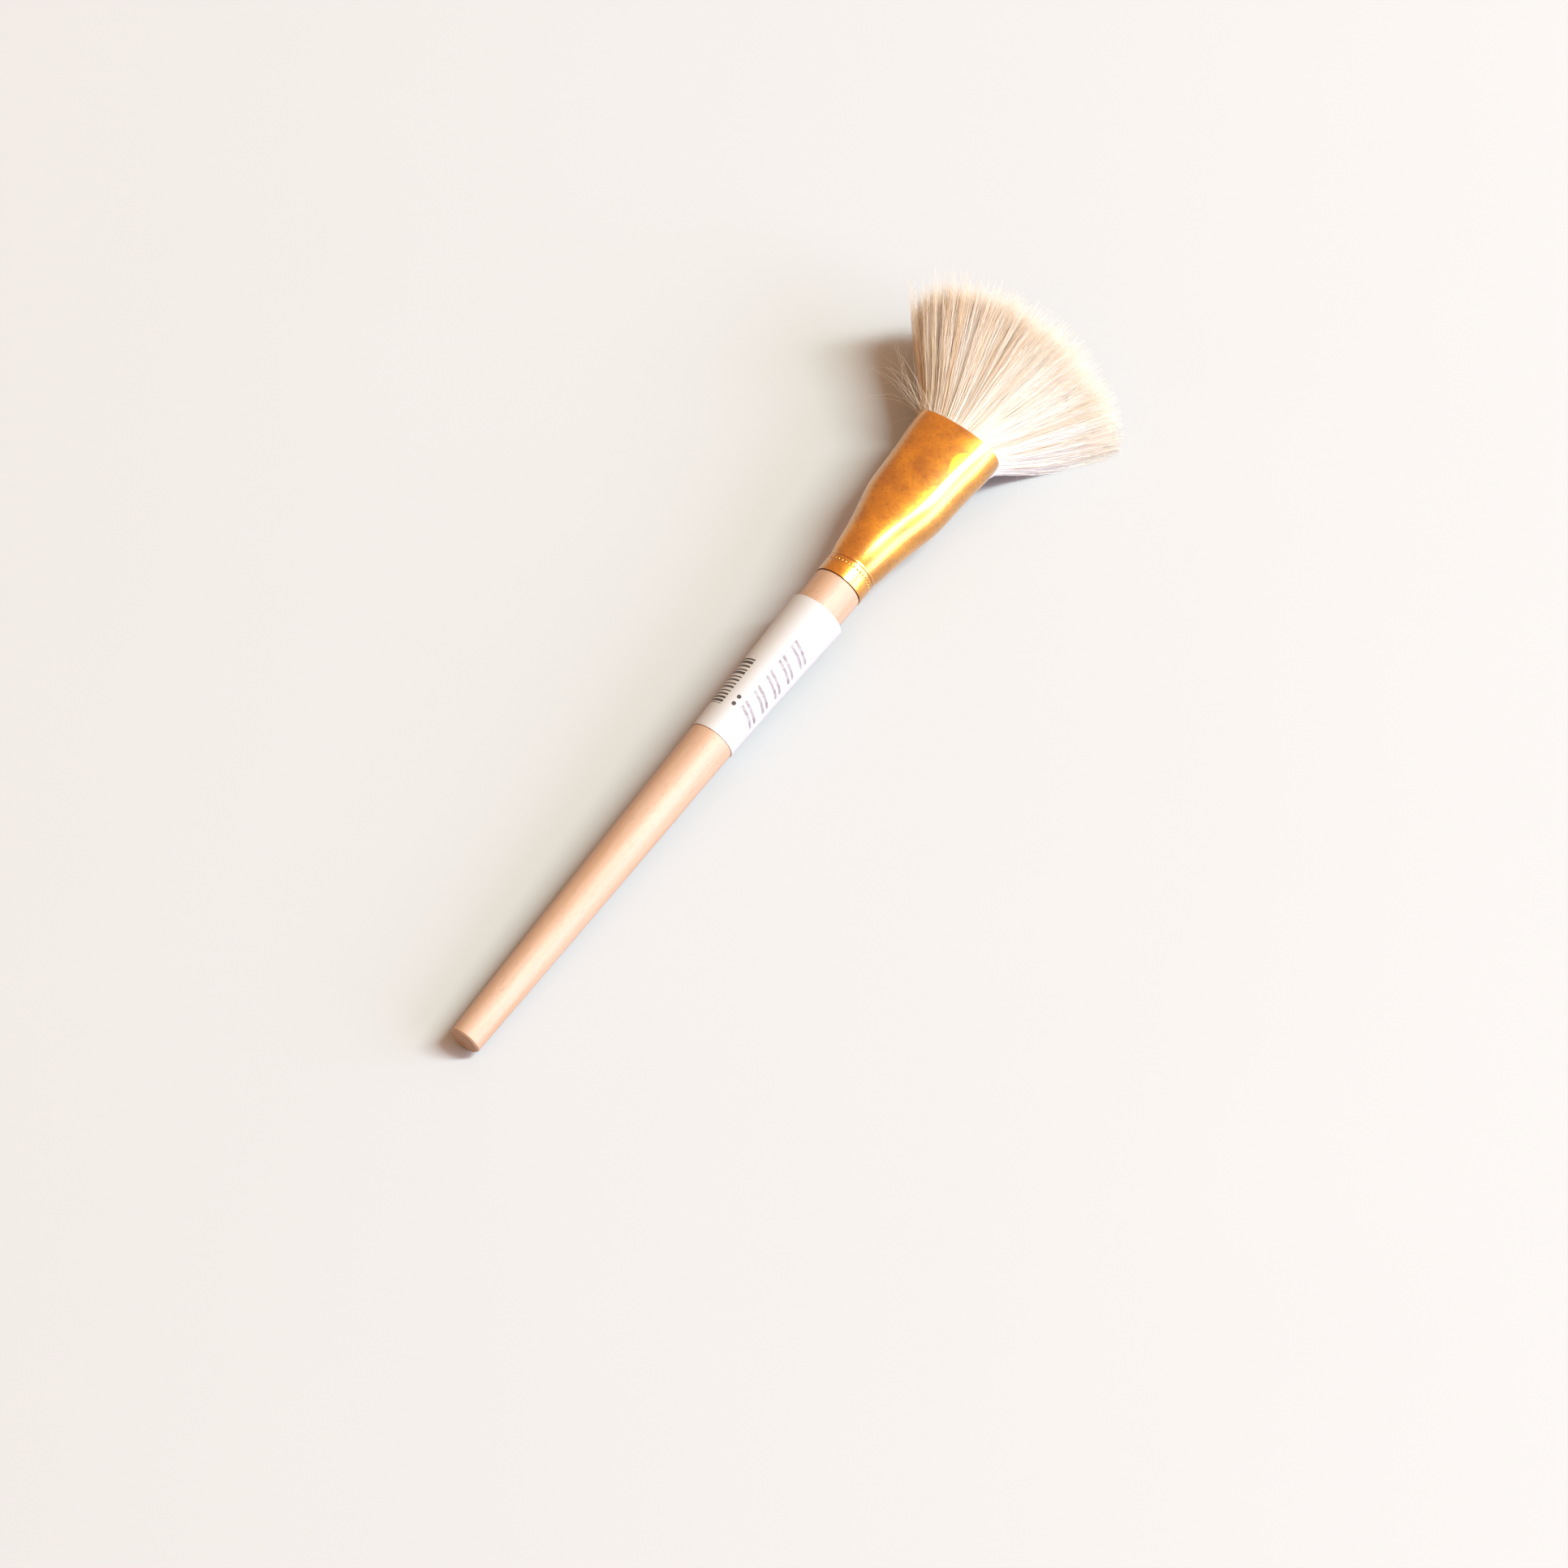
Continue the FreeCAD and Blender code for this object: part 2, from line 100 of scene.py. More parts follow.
class Nodes:
    """Builds one material's nodes: each call adds a node and returns its output socket."""

    def __init__(self, name, **surface):
        self.material = bpy.data.materials.new(name)
        self.material.use_nodes = True
        self.tree = self.material.node_tree
        self.shader = self.tree.nodes["Principled BSDF"]
        for key, value in surface.items():
            self.shader.inputs[SHADER_SOCKETS[key]].default_value = value

    def add(self, kind, **settings):
        node = self.tree.nodes.new(kind)
        for key, value in settings.items():
            setattr(node, key, value)
        return node

    def feed(self, socket, value):
        """Link an output to a socket, or set the socket to a plain value."""
        if isinstance(value, bpy.types.NodeSocket):
            self.tree.links.new(value, socket)
        else:
            socket.default_value = value

    def math(self, operation, first, second=0.0, third=0.0):
        node = self.add("ShaderNodeMath", operation=operation)
        for socket, value in zip(node.inputs, (first, second, third)):
            self.feed(socket, value)
        return node.outputs[0]

    def position(self):
        return self.add("ShaderNodeNewGeometry").outputs["Position"]

    def project(self, direction):
        """How far the shaded point lies from the middle of the butt along a direction."""
        offset = self.add("ShaderNodeVectorMath", operation="SUBTRACT")
        self.feed(offset.inputs[0], self.position())
        self.feed(offset.inputs[1], tuple(START))
        along = self.add("ShaderNodeVectorMath", operation="DOT_PRODUCT")
        self.feed(along.inputs[0], offset.outputs[0])
        self.feed(along.inputs[1], tuple(direction))
        return along.outputs["Value"]

    def brush_place(self):
        """The shaded point's across, station and up, in metres."""
        return self.project(ACROSS), self.project(ALONG), self.project(UP)

    def vector(self, x, y, z):
        node = self.add("ShaderNodeCombineXYZ")
        for socket, value in zip(node.inputs, (x, y, z)):
            self.feed(socket, value)
        return node.outputs[0]

    def noise(self, vector, scale, detail=3.0, roughness=0.6):
        """A smooth random value from 0 to 1; scale counts its cells in a metre."""
        node = self.add("ShaderNodeTexNoise")
        self.feed(node.inputs["Vector"], vector)
        self.feed(node.inputs["Scale"], scale)
        self.feed(node.inputs["Detail"], detail)
        self.feed(node.inputs["Roughness"], roughness)
        return node.outputs["Fac"]

    def remap(self, value, low, high, new_low=0.0, new_high=1.0):
        node = self.add("ShaderNodeMapRange", clamp=True)
        for label, setting in (("Value", value), ("From Min", low), ("From Max", high),
                               ("To Min", new_low), ("To Max", new_high)):
            self.feed(node.inputs[label], setting)
        return node.outputs["Result"]

    def mix(self, amount, first, second):
        node = self.add("ShaderNodeMix", data_type="RGBA")
        self.feed(node.inputs[0], amount)
        self.feed(node.inputs[6], colour(first))
        self.feed(node.inputs[7], colour(second))
        return node.outputs[2]

    def band(self, value, low, high, soft):
        """One from low to high, fading to zero over a distance of soft on either side."""
        rising = self.remap(value, low - soft, low)
        falling = self.remap(value, high, high + soft, 1.0, 0.0)
        return self.math("MULTIPLY", rising, falling)

    def length(self, x, y):
        node = self.add("ShaderNodeVectorMath", operation="LENGTH")
        self.feed(node.inputs[0], self.vector(x, y, 0.0))
        return node.outputs["Value"]

    def bump(self, height, distance, strength=1.0, normal=None):
        """A normal tilted by the slope of a height, laid over another bump's normal if given."""
        node = self.add("ShaderNodeBump")
        self.feed(node.inputs["Height"], height)
        self.feed(node.inputs["Distance"], distance)
        self.feed(node.inputs["Strength"], strength)
        if normal:
            self.feed(node.inputs["Normal"], normal)
        return node.outputs["Normal"]


def dress(node_name, material):
    """Give a CAD node a better material than the one it was packed with."""
    for slot in frame["nodes"][node_name].material_slots:
        slot.material = material


# ---------------------------------------------------------------------------
# Handle: raw sanded hardwood
# ---------------------------------------------------------------------------

# Patterns that are long along the brush change that way at this share of their pace across.
GRAIN_ALONG = 0.06
PORE_ALONG = 0.22
PORE_STRENGTH = 0.35
WOOD_RELIEF = 0.03 * MM


def wood_material():
    """Pale wood, streaked along the handle and dotted with open pores."""
    wood = Nodes("raw_wood", roughness=0.50, specular=0.45)
    across, station, up = wood.brush_place()
    grain_place = wood.vector(across, wood.math("MULTIPLY", station, GRAIN_ALONG), up)
    bands = wood.noise(grain_place, 420.0, detail=4.0)
    pore_place = wood.vector(across, wood.math("MULTIPLY", station, PORE_ALONG), up)
    pores = wood.noise(pore_place, 2600.0, detail=2.0)
    pore_marks = wood.remap(pores, 0.60, 0.72)

    pale = (0.368, 0.240, 0.166)
    warm = (0.335, 0.200, 0.122)
    pore = (0.21, 0.115, 0.065)
    base = wood.mix(wood.remap(bands, 0.35, 0.68), pale, warm)
    base = wood.mix(wood.math("MULTIPLY", pore_marks, PORE_STRENGTH), base, pore)
    wood.feed(wood.shader.inputs["Base Color"], base)
    height = wood.math("SUBTRACT", wood.math("MULTIPLY", bands, 0.4), pore_marks)
    wood.feed(wood.shader.inputs["Normal"], wood.bump(height, WOOD_RELIEF, 0.6))
    return wood.material


# ---------------------------------------------------------------------------
# Ferrule: satin gold anodised aluminium
# ---------------------------------------------------------------------------

COLLAR_START = station_of(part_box("ferrule")[0].y)
DIMPLE_STATION = COLLAR_START + 3.75 * MM
DIMPLE_COUNT = 40
DIMPLE_HALF_WIDTH = 0.2 * MM
LINE_STATION = COLLAR_START + 5.0 * MM
LINE_HALF_WIDTH = 0.05 * MM
# How softly the painted shade in the collar's dimples and line fades out, and how dark it gets.
GROOVE_SHADE_EDGE = 0.1 * MM
GROOVE_SHADE_STRENGTH = 0.75
SPECK_STRENGTH = 0.45
DRAWN_ALONG = 0.08  # as for the wood's patterns
GOLD_RELIEF = 0.05 * MM


def groove_shade_mask(gold, across, station, up):
    """Painted shade: darkening in the crimped dimples and in the fine line of the collar."""
    turn = gold.math("ARCTAN2", across, up)
    wave = gold.math("COSINE", gold.math("MULTIPLY", turn, float(DIMPLE_COUNT)))
    in_ring = gold.band(station, DIMPLE_STATION - DIMPLE_HALF_WIDTH,
                        DIMPLE_STATION + DIMPLE_HALF_WIDTH, GROOVE_SHADE_EDGE)
    dimples = gold.math("MULTIPLY", in_ring, gold.remap(wave, 0.1, 0.7))
    line = gold.band(station, LINE_STATION - LINE_HALF_WIDTH,
                     LINE_STATION + LINE_HALF_WIDTH, GROOVE_SHADE_EDGE)
    return gold.math("MAXIMUM", dimples, line)


# Shallow dents in the flattened face: (across, distance back from the mouth, radius).
DENTS = [
    (8.0 * MM, 8.4 * MM, 4.0 * MM),
    (10.5 * MM, 22.0 * MM, 3.0 * MM),
    (-1.7 * MM, 23.0 * MM, 0.5 * MM),
    (-0.9 * MM, 22.1 * MM, 0.6 * MM),
    (-0.2 * MM, 21.4 * MM, 0.4 * MM),
]
DENT_DEPTH_SHARE = 0.07  # of a dent's radius


def dent_height(gold, across, station):
    """Depth of the dents as a negative height in metres, deepest at their centres."""
    deepest = 0.0
    for dent_across, from_mouth, radius in DENTS:
        apart = gold.length(gold.math("SUBTRACT", across, dent_across),
                            gold.math("SUBTRACT", station, MOUTH - from_mouth))
        inside = gold.remap(apart, 0.0, radius, 1.0, 0.0)
        depth = gold.math("MULTIPLY", gold.math("SMOOTH_MIN", inside, 1.0, 0.2),
                          radius * DENT_DEPTH_SHARE)
        deepest = gold.math("MAXIMUM", deepest, depth)
    return gold.math("MULTIPLY", deepest, -1.0)


def gold_material():
    """Metal under a clear film: the film keeps the window's reflection nearly white."""
    gold = Nodes("gold_anodised", metallic=1.0, roughness=0.30, coat=1.0,
                 coat_roughness=0.30, coat_ior=1.68)
    place = gold.position()
    across, station, up = gold.brush_place()
    drawn_place = gold.vector(across, gold.math("MULTIPLY", station, DRAWN_ALONG), up)
    drawn_lines = gold.noise(drawn_place, 2200.0, detail=2.0, roughness=0.5)
    blotches = gold.noise(place, 160.0)

    deep = (0.50, 0.195, 0.0)
    bright = (0.68, 0.285, 0.0)
    # Dark brown for the dirt specks and for the painted shade in the collar's dimples and line.
    residue_and_shade = (0.22, 0.06, 0.0)
    base = gold.mix(gold.remap(blotches, 0.35, 0.65), deep, bright)
    specks = gold.remap(gold.noise(place, 1300.0, roughness=0.7), 0.50, 0.70,
                        0.0, SPECK_STRENGTH)
    # The specks are dirt; the darkening in the dimples and the fine line is painted shade.
    groove_darkening = gold.math("MULTIPLY", groove_shade_mask(gold, across, station, up), GROOVE_SHADE_STRENGTH)
    specks_and_groove_shade = gold.math("MAXIMUM", specks, groove_darkening)
    gold.feed(gold.shader.inputs["Base Color"], gold.mix(specks_and_groove_shade, base, residue_and_shade))
    roughness = gold.remap(blotches, 0.3, 0.7, 0.26, 0.38)
    gold.feed(gold.shader.inputs["Roughness"], roughness)
    height = gold.math("ADD", gold.math("MULTIPLY", drawn_lines, 0.25), blotches)
    dents = gold.bump(dent_height(gold, across, station), 1.0)
    gold.feed(gold.shader.inputs["Normal"], gold.bump(height, GOLD_RELIEF, 0.5, dents))
    return gold.material


# ---------------------------------------------------------------------------
# Price label: thin white paper
# ---------------------------------------------------------------------------
# Turns are angles round the handle, from its top towards +X.

HANDLE_RADIUS = 5.6 * MM
INK_EDGE = 0.04 * MM
BARCODE_STATIONS = (98.2 * MM, 112.0 * MM)
BARCODE_TURN = (math.radians(-95), math.radians(-22))
BAR_PERIOD = 1.05 * MM
DOT_STATIONS = (99.8 * MM, 101.8 * MM)
DOT_TURN = math.radians(4)
DOT_RADIUS = 0.5 * MM
HATCH_STATIONS = (97.6 * MM, 121.1 * MM)
HATCH_TURN = (math.radians(22), math.radians(78))
HATCH_PERIOD = 4.7 * MM
HATCH_SLANT = 1.9 * MM
HATCH_STROKES = ((0.10, 0.27), (0.42, 0.59))  # where each stroke lies in one period
FIBRE_RELIEF = 0.01 * MM


def barcode_mask(paper, station, turn):
    """Bars of random widths across the handle, like a barcode that carries no number."""
    bar = paper.math("DIVIDE", station, BAR_PERIOD)
    chance = paper.add("ShaderNodeTexWhiteNoise", noise_dimensions="1D")
    paper.feed(chance.inputs["W"], paper.math("FLOOR", bar))
    width = paper.remap(chance.outputs["Value"], 0.0, 1.0, 0.3, 0.75)
    bars = paper.math("LESS_THAN", paper.math("FRACT", bar), width)
    area = paper.math("MULTIPLY", paper.band(station, *BARCODE_STATIONS, INK_EDGE),
                      paper.band(turn, *BARCODE_TURN, INK_EDGE / HANDLE_RADIUS))
    return paper.math("MULTIPLY", bars, area)


def dots_mask(paper, station, turn):
    """Two small printed dots."""
    round_handle = paper.math("MULTIPLY", paper.math("SUBTRACT", turn, DOT_TURN), HANDLE_RADIUS)
    masks = []
    for dot_station in DOT_STATIONS:
        apart = paper.length(paper.math("SUBTRACT", station, dot_station), round_handle)
        masks.append(paper.remap(apart, DOT_RADIUS, DOT_RADIUS + INK_EDGE, 1.0, 0.0))
    return paper.math("MAXIMUM", *masks)


def hatch_mask(paper, station, turn):
    """A row of slanted double strokes, worn away in places."""
    middle = sum(HATCH_TURN) / 2
    slant = paper.math("MULTIPLY", paper.math("SUBTRACT", turn, middle), HATCH_SLANT)
    period = paper.math("FRACT", paper.math("DIVIDE", paper.math("ADD", station, slant),
                                            HATCH_PERIOD))
    strokes = [paper.band(period, low, high, INK_EDGE / HATCH_PERIOD)
               for low, high in HATCH_STROKES]
    area = paper.math("MULTIPLY", paper.band(station, *HATCH_STATIONS, INK_EDGE),
                      paper.band(turn, *HATCH_TURN, INK_EDGE / HANDLE_RADIUS))
    worn = paper.remap(paper.noise(paper.position(), 900.0), 0.35, 0.62, 0.45, 0.85)
    return paper.math("MULTIPLY", paper.math("MULTIPLY", paper.math("MAXIMUM", *strokes), area),
                      worn)


def paper_material():
    """Fibrous white paper with a barcode, two dots and pen strokes printed round the handle."""
    paper = Nodes("label_paper", roughness=0.55, specular=0.4)
    fibres = paper.noise(paper.position(), 1800.0)
    across, station, up = paper.brush_place()
    turn = paper.math("ARCTAN2", across, up)

    shaded = (0.358, 0.345, 0.338)
    white = (0.386, 0.372, 0.365)
    dark_ink = (0.035, 0.028, 0.025)
    mauve_ink = (0.10, 0.065, 0.075)
    base = paper.mix(fibres, shaded, white)
    base = paper.mix(hatch_mask(paper, station, turn), base, mauve_ink)
    base = paper.mix(barcode_mask(paper, station, turn), base, dark_ink)
    base = paper.mix(dots_mask(paper, station, turn), base, dark_ink)
    paper.feed(paper.shader.inputs["Base Color"], base)
    paper.feed(paper.shader.inputs["Normal"], paper.bump(fibres, FIBRE_RELIEF, 0.4))
    return paper.material


MOTTLE_SHADE = 0.8


def plain_material(name, base, roughness, scale):
    """A quiet material for what is hidden inside the ferrule: one colour, slightly mottled."""
    plain = Nodes(name, roughness=roughness)
    mottle = plain.noise(plain.position(), scale)
    darker = tuple(channel * MOTTLE_SHADE for channel in base)
    plain.feed(plain.shader.inputs["Base Color"], plain.mix(mottle, darker, base))
    return plain.material


dress("handle", wood_material())
dress("ferrule", gold_material())
dress("price_label", paper_material())
dress("resin_plug", plain_material("amber_resin", (0.55, 0.36, 0.14), 0.2, 300.0))
dress("handle_glue", plain_material("dry_glue", (0.80, 0.72, 0.55), 0.5, 400.0))
dress("binding_thread", plain_material("waxed_thread", (0.85, 0.80, 0.70), 0.7, 1500.0))

# ---------------------------------------------------------------------------
# Hair
# ---------------------------------------------------------------------------
# Each hair has a place (u, v) in the bundle, with u and v from -1 to 1 across and up, and keeps
# near it from root to tip. The bundle spreads from the ferrule's mouth into a fan whose tips are
# cut to a dome. A few hairs make a wisp, and neighbouring wisps draw together into locks.

random = np.random.default_rng(7)

HAIR_POINTS = 7  # along each hair
HAIR_SIDES = 3  # round each hair
LIT_THROUGH = 0.6  # share of the light that a hair lets through rather than reflects
HAIR_RADIUS = 0.055 * MM
STRAY_RADIUS = 0.03 * MM
TIP_THINNING = 0.3  # radius at the tip as a share of the radius at the root
WISP_COUNT = 3250
HAIRS_PER_WISP = 8
LOCK_COUNT = 420
STRAY_COUNT = 48
LAYER_COUNT = 5
ROOT_DEPTH = 5.0 * MM  # how far inside the mouth the hairs start
MOUTH_SOFTNESS = 1.2 * MM  # how gently the hairs begin to spread there
LARGEST_EXPONENT = 40  # keeps exp within what a float holds
MOUTH_HALF_WIDTH = 10.2 * MM
MOUTH_HALF_HEIGHT = 6.2 * MM
FAN_HALF_WIDTH = 30.0 * MM
FAN_HALF_HEIGHT = 9.3 * MM
SWELL_TURN = 0.55 * math.pi  # the fan's thickness follows a sine as far as this turn
OUTER_EDGE = 0.985  # largest u for the fan's outline, which has no height at 1
WIDEST = 18.0 * MM  # how far beyond the mouth the outermost hairs end
DOME_ROUNDING = 0.10  # how much shorter the topmost and lowest hairs are
DOME_STEPS = 12
SPREAD = 0.83  # sideways travel of an outermost hair for each length it goes forwards
LEAN = 0.08  # the same for the whole fan, towards -X
DROOP = 3.4 * MM  # how far the middle of the fan sags by its tips
CROSS_TILT = 0.20  # extra sag for each length towards +X
RIGHT_DROOP = 11.0 * MM  # extra sag of the outermost hairs on the +X side
SAG_POWER = 0.38  # below 1 the hair sags early, from just inside the mouth on
LOCK_PULL = 0.15  # the most of its way to the middle of its lock that a wisp's tip moves
LOCK_BEND = (0.006, 0.015)  # spread, in u and in v, of how far a lock's tip bends aside
WISP_BEND = (0.022, 0.07)  # the same for a wisp within its lock
WISP_RADIUS = 0.030  # spread of a wisp's hairs about its middle, in u and v
WISP_GATHER = (0.3, 0.85)  # how far the hairs of a wisp close up by their tips
SWAY = 0.22 * MM
SWAY_TURN = 9.0  # radians of a hair's waviness from root to tip
FLOOR_CLEARANCE = 0.2 * MM


def ramp(distance):
    """Near zero inside the ferrule, near the distance beyond its mouth, and smooth between."""
    exponent = np.clip(distance / MOUTH_SOFTNESS, -LARGEST_EXPONENT, LARGEST_EXPONENT)
    return MOUTH_SOFTNESS * np.log1p(np.exp(exponent))


def bundle_places(count, spread):
    """Evenly scattered (u, v) places in the bundle's rounded cross-section."""
    angle = random.uniform(0, 2 * math.pi, count)
    radius = np.sqrt(random.uniform(0, 1, count)) * spread
    return np.stack([radius * np.cos(angle), radius * np.sin(angle)], axis=-1)


def fan_place(u, v, distance):
    """Where hair (u, v) is at a distance beyond the mouth; the fan sags, most on its +X side."""
    opened = ramp(distance)
    across = u * (MOUTH_HALF_WIDTH + SPREAD * opened) - LEAN * opened
    share = np.clip(opened / FAN_LENGTH, 0, 1)
    swell = np.sin(share * SWELL_TURN)
    half_height = MOUTH_HALF_HEIGHT + (FAN_HALF_HEIGHT - MOUTH_HALF_HEIGHT) * swell
    # The bundle's oval outline turns into a squarer one, which is thicker near its sides.
    edge = np.clip(np.abs(u), 0, OUTER_EDGE)
    squared = (1 - edge ** 4) ** 0.25 / (1 - edge ** 2) ** 0.5
    sag = DROOP + CROSS_TILT * across + RIGHT_DROOP * np.clip(u, 0, 1) ** 2
    return across, v * half_height * (1 + share * (squared - 1)) - sag * share ** SAG_POWER


def tip_distance(u, v):
    """How far beyond the mouth the dome of tips lies for hair (u, v)."""
    distance = np.full_like(u, FAN_LENGTH)
    dome_depth = FAN_LENGTH - WIDEST
    # How far across a hair ends depends on this distance, so the two are refined by turns.
    for _ in range(DOME_STEPS):
        across = u * (MOUTH_HALF_WIDTH + SPREAD * distance)
        inside = np.clip(1 - (across / FAN_HALF_WIDTH) ** 2, 0, 1)
        distance = 0.5 * (distance + WIDEST + dome_depth * np.sqrt(inside))
    return distance * (1 - DOME_ROUNDING * v * v)


def nearest(places, centres):
    """Index of the centre closest to each place, as seen in the opened fan."""
    opened = np.array([FAN_HALF_WIDTH, FAN_HALF_HEIGHT])
    gap = (places[:, None, :] - centres[None, :, :]) * opened
    return (gap ** 2).sum(axis=2).argmin(axis=1)


def grow_hairs():
    """Paths of the hairs as (hairs, HAIR_POINTS, 3) places on the brush, and each one's shade.

    Shades go from 0, straw, to 1, cream."""
    lock_places = bundle_places(LOCK_COUNT, 0.97)
    wisp_places = bundle_places(WISP_COUNT, 0.98)
    lock = nearest(wisp_places, lock_places)
    tight = random.uniform(0.0, LOCK_PULL, LOCK_COUNT)[lock]
    lock_bend = random.normal(0, LOCK_BEND, (LOCK_COUNT, 2))[lock]
    wisp_bend = random.normal(0, WISP_BEND, (WISP_COUNT, 2)) + lock_bend
    # Hairs are longer towards +X, and at both edges of the fan shorter and more ragged.
    sideways = wisp_places[:, 0]
    ragged = 0.04 + 0.08 * np.abs(sideways) ** 4
    wisp_length = (0.85 + 0.12 * np.clip(sideways, 0, 1) - 0.12 * sideways ** 4
                   + ragged * random.normal(0, 1, WISP_COUNT)
                   + random.normal(0, 0.015, LOCK_COUNT)[lock])
    wisp_gather = random.uniform(*WISP_GATHER, WISP_COUNT)
    # Painted shade and light: the hair is darker towards -X, away from the light, and lighter
    # towards +X, which faces it. It also varies more from wisp to wisp towards -X.
    variety = 0.35 - 0.22 * np.clip(sideways, 0, 1)
    wisp_shade = (0.62 + 0.38 * sideways + variety * random.normal(0, 1, WISP_COUNT)
                  + random.normal(0, 0.07, LOCK_COUNT)[lock])

    wisp = np.repeat(np.arange(WISP_COUNT), HAIRS_PER_WISP)
    count = len(wisp)
    offset = random.normal(0, WISP_RADIUS, (count, 2))
    length = np.clip(wisp_length[wisp] * random.normal(1.0, 0.055, count), 0.5, 1.03)
    wave = random.uniform(0, 2 * math.pi, (count, 2))
    reach = tip_distance(wisp_places[wisp, 0], wisp_places[wisp, 1]) * length

    paths = np.empty((count, HAIR_POINTS, 3))
    to_lock = (lock_places[lock] - wisp_places) * tight[:, None]
    for index, step in enumerate(np.linspace(0, 1, HAIR_POINTS)):
        distance = -ROOT_DEPTH + (reach + ROOT_DEPTH) * step
        out = np.clip((step - 0.1) / 0.9, 0, 1)
        centre = wisp_places + to_lock * out ** 1.5 + wisp_bend * out ** 1.4
        uv = centre[wisp] + offset * (1 - wisp_gather[wisp] * out)[:, None]
        across, up = fan_place(uv[:, 0], uv[:, 1], distance)
        sway = SWAY * out * np.sin(wave + step * SWAY_TURN)
        paths[:, index, 0] = across + sway[:, 0]
        paths[:, index, 1] = MOUTH + distance
        paths[:, index, 2] = up + sway[:, 1]
    shade = np.clip(wisp_shade[wisp] + random.normal(0, 0.20, count), 0, 1)
    return paths, shade


def grow_strays(count):
    """Single curling hairs that stick out at the mouth's sides, most of them towards -X."""
    side = np.where(random.random(count) < 0.75, -1.0, 1.0)
    outwards = np.radians(random.uniform(44, 82, count))
    length = random.uniform(6, 19, count) * MM
    rise = random.normal(0.1, 0.2, count)
    curl = random.normal(0, 0.4, (count, 2))
    start_up = random.uniform(-0.8, 0.8, count)
    start_across = 1 - 0.5 * start_up ** 2
    paths = np.empty((count, HAIR_POINTS, 3))
    for index, step in enumerate(np.linspace(-0.15, 1, HAIR_POINTS)):
        reach = length * step
        bend = curl * (step * step)
        angle = outwards + bend[:, 0]
        paths[:, index, 0] = side * (start_across * MOUTH_HALF_WIDTH + np.sin(angle) * reach)
        paths[:, index, 1] = MOUTH + np.cos(angle) * reach
        paths[:, index, 2] = (start_up * MOUTH_HALF_HEIGHT
                              + (rise + bend[:, 1] * 0.6) * reach)
    return paths, np.clip(random.normal(0.35, 0.25, count), 0, 1)


def tube_mesh(name, paths, radii, shade):
    """One mesh of thin tapering tubes along paths, with each tube's shade and length share."""
    count, rings, _ = paths.shape
    sides = HAIR_SIDES
    tangent = np.gradient(paths, axis=1)
    tangent /= np.linalg.norm(tangent, axis=2, keepdims=True)
    side = np.cross(tangent, np.array([0.0, 0.0, 1.0]))
    side /= np.linalg.norm(side, axis=2, keepdims=True)
    other = np.cross(side, tangent)
    turn = np.arange(sides) * 2 * math.pi / sides
    ring = (side[:, :, None, :] * np.cos(turn)[None, None, :, None]
            + other[:, :, None, :] * np.sin(turn)[None, None, :, None])
    points = paths[:, :, None, :] + ring * radii[:, :, None, None]

    index = np.arange(count * rings * sides).reshape(count, rings, sides)
    following = np.roll(index, -1, axis=2)
    quads = np.stack([index[:, :-1], following[:, :-1], following[:, 1:], index[:, 1:]], axis=-1)
    quads = quads.reshape(-1, 4)

    mesh = bpy.data.meshes.new(name)
    mesh.vertices.add(count * rings * sides)
    mesh.vertices.foreach_set("co", points.reshape(-1).astype(np.float32))
    mesh.loops.add(quads.size)
    mesh.loops.foreach_set("vertex_index", quads.reshape(-1).astype(np.int32))
    mesh.polygons.add(len(quads))
    mesh.polygons.foreach_set("loop_start", np.arange(0, quads.size, 4, dtype=np.int32))
    mesh.update(calc_edges=True)
    mesh.polygons.foreach_set("use_smooth", np.ones(len(quads), bool))

    per_point = np.repeat(shade, rings * sides).astype(np.float32)
    mesh.attributes.new("shade", "FLOAT", "POINT").data.foreach_set("value", per_point)
    share = np.tile(np.repeat(np.linspace(0, 1, rings), sides), count).astype(np.float32)
    mesh.attributes.new("share", "FLOAT", "POINT").data.foreach_set("value", share)
    add_hair_uvs(mesh, quads, count, rings, sides)
    return mesh


CELL_SIDE = 0.3  # gaps beside a hair and at its ends, as shares of its cell
CELL_END = 0.1


def add_hair_uvs(mesh, quads, count, rings, sides):
    """Lay each hair in its own small cell of the texture square, its length running upwards."""
    cells = math.ceil(math.sqrt(count))
    hair = quads // (rings * sides)
    ring = (quads // sides) % rings
    column, row = hair % cells, hair // cells
    left, right = CELL_SIDE, 1 - CELL_SIDE
    across = np.array([left, right, right, left])[None, :]
    u = (column + across) / cells
    v = (row + CELL_END + (1 - 2 * CELL_END) * ring / (rings - 1)) / cells
    layer = mesh.uv_layers.new(name="OFBake")
    layer.data.foreach_set("uv", np.stack([u, v], axis=-1).reshape(-1).astype(np.float32))


